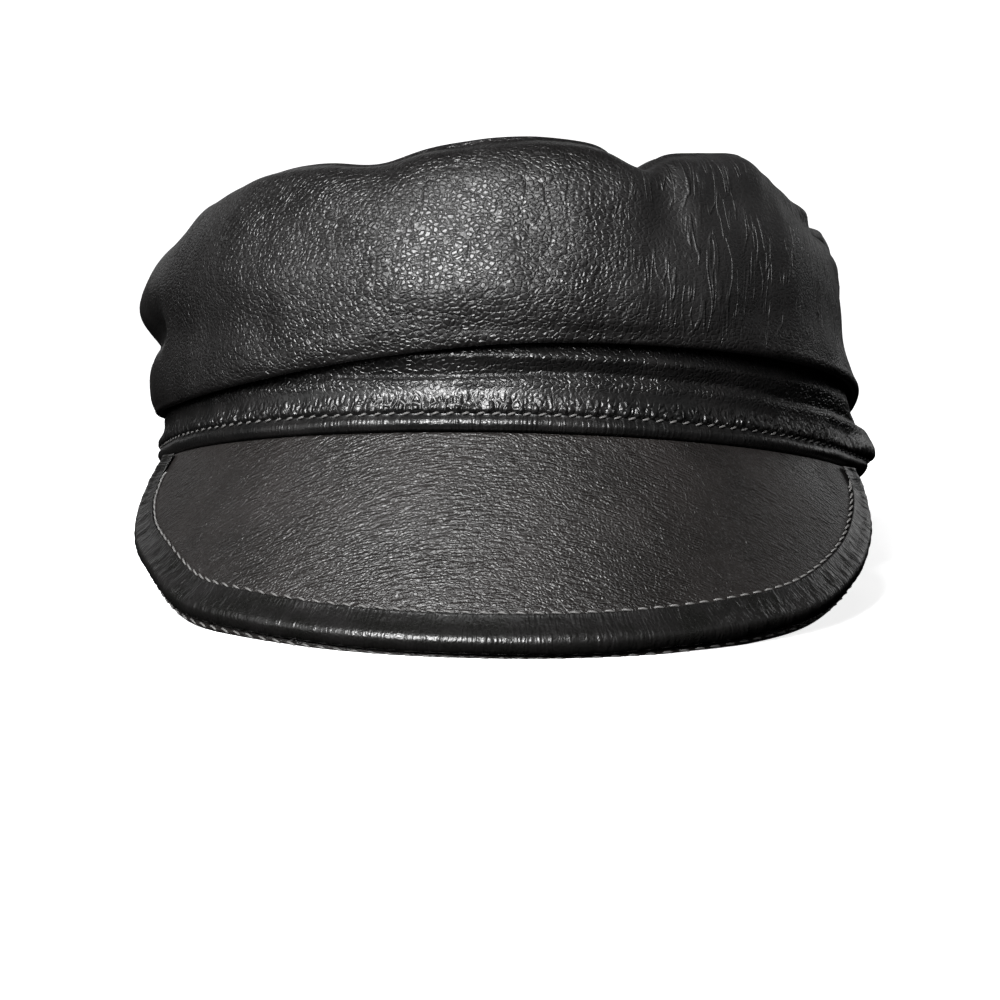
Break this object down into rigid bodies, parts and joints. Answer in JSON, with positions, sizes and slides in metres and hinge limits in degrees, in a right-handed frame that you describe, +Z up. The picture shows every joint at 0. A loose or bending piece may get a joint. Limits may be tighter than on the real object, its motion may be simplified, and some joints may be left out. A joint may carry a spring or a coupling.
{
  "type": "skipper cap",
  "caption": "Soft leather skipper cap with a full gathered crown, a padded head band and a short sloping peak with a rolled, stitched rim.",
  "frame": {"origin": "centre of the bounding box in plan, on the surface the cap rests on", "axes": "+Z up, -Y towards the front with the peak, +X to the right of a viewer who faces the peak. The cap lies tilted back on the peak's rim and the nape of its band."},
  "size_m": [0.192, 0.2414, 0.1106],
  "materials": {
    "crown_leather": "soft black leather, pebbled, half matt",
    "band_leather": "black leather, creased, slight sheen",
    "peak_leather": "black leather, fine grain, dull",
    "binding_leather": "black leather, rolled, slight gloss"
  },
  "bodies": {
    "root": {"crown_side": "crown_leather", "crown_top": "crown_leather", "band": "band_leather", "peak": "peak_leather", "peak_binding": "binding_leather", "peak_underside": "peak_leather"}
  },
  "joints": []
}
